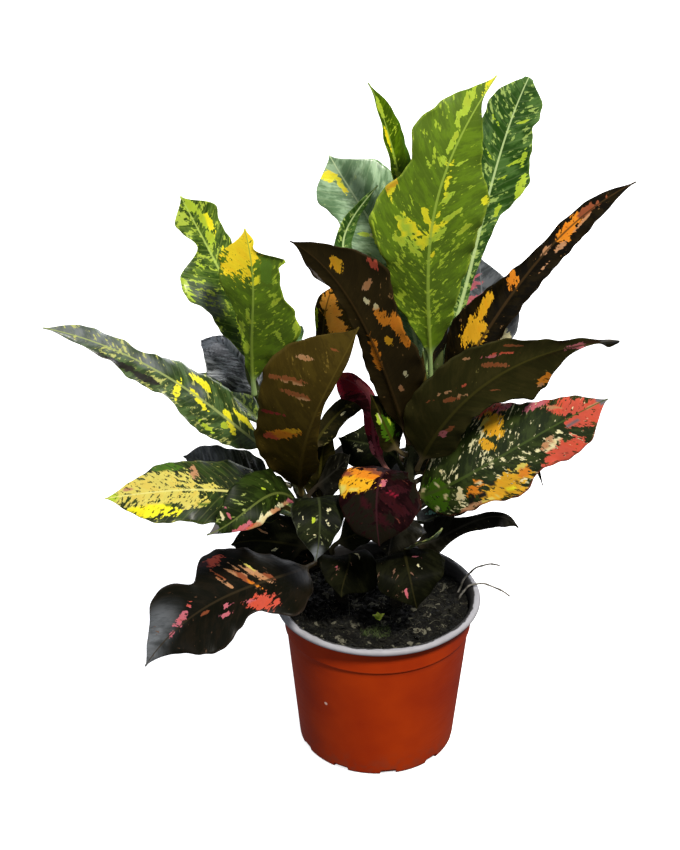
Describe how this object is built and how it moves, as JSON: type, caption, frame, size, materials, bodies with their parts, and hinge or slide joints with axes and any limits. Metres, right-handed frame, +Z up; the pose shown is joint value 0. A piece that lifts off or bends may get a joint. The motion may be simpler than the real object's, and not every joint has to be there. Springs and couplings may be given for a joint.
{
  "type": "potted croton",
  "caption": "Bushy croton with variegated, waved leaves on woody stems, standing in soil in a tapered plastic nursery pot.",
  "frame": {"origin": "centre of the pot's flat underside", "axes": "+Z up along the pot's axis, -Y towards the front that the picture shows, +X to its right"},
  "size_m": [0.3936, 0.2446, 0.5235],
  "materials": {
    "pot_plastic": "terracotta-coloured nursery plastic with a pale rim, low sheen",
    "potting_soil": "rough dark bark and peat mix",
    "bark": "grey-brown young bark, matt",
    "dry_straw": "dry pale fibre, matt",
    "leaf_lime": "waxy leaf, lime and green",
    "leaf_green": "waxy leaf, mid green",
    "leaf_olive": "waxy leaf, dark olive brown",
    "leaf_maroon": "waxy leaf, near-black maroon",
    "leaf_yellow": "waxy leaf, pale yellow blotches on green",
    "leaf_grey": "waxy leaf, grey-green sheen"
  },
  "bodies": {
    "root": {"pot": "pot_plastic", "soil": "potting_soil", "stem_main": "bark", "stem_left": "bark", "stem_back": "bark", "dry_stalk_upper": "dry_straw", "dry_stalk_lower": "dry_straw", "leaf_crown_front": "leaf_lime", "leaf_crown_right": "leaf_green", "leaf_crown_sliver": "leaf_lime", "leaf_crown_left": "leaf_green", "leaf_crown_edge": "leaf_green", "leaf_maroon_raised": "leaf_maroon", "leaf_inner_orange": "leaf_maroon", "leaf_olive_front": "leaf_olive", "leaf_cream_margin": "leaf_green", "leaf_yellow_block": "leaf_lime", "leaf_lime_left": "leaf_lime", "leaf_grey_left": "leaf_grey", "leaf_long_left": "leaf_green", "leaf_black_left": "leaf_grey", "leaf_pale_yellow": "leaf_yellow", "leaf_coral_low": "leaf_maroon", "leaf_green_low": "leaf_green", "leaf_red_arch": "leaf_maroon", "leaf_red_inner": "leaf_maroon", "leaf_olive_inner": "leaf_olive", "leaf_necked_right": "leaf_olive", "leaf_orange_raised": "leaf_maroon", "leaf_pink_back": "leaf_grey", "leaf_red_yellow_right": "leaf_yellow", "leaf_black_right": "leaf_maroon", "leaf_soil_right": "leaf_olive", "leaf_soil_left": "leaf_olive", "leaf_speckled_front": "leaf_olive", "leaf_banded_front": "leaf_maroon", "leaf_small_pale": "leaf_green", "leaf_dark_inner": "leaf_maroon", "leaf_back_01": "leaf_olive", "leaf_back_02": "leaf_maroon", "leaf_back_03": "leaf_maroon", "leaf_back_04": "leaf_green", "leaf_back_05": "leaf_green", "leaf_back_06": "leaf_green", "leaf_back_07": "leaf_olive", "leaf_back_08": "leaf_maroon", "leaf_back_09": "leaf_maroon", "leaf_back_10": "leaf_maroon", "leaf_back_11": "leaf_green", "leaf_back_12": "leaf_olive", "leaf_back_13": "leaf_maroon", "leaf_back_14": "leaf_olive", "leaf_back_15": "leaf_green", "leaf_maroon_middle": "leaf_maroon", "leaf_dark_middle": "leaf_green", "leaf_dark_low": "leaf_olive", "leaf_green_middle": "leaf_green", "leaf_olive_middle": "leaf_olive", "leaf_dark_upright": "leaf_green", "leaf_dark_side": "leaf_green"}
  },
  "joints": []
}
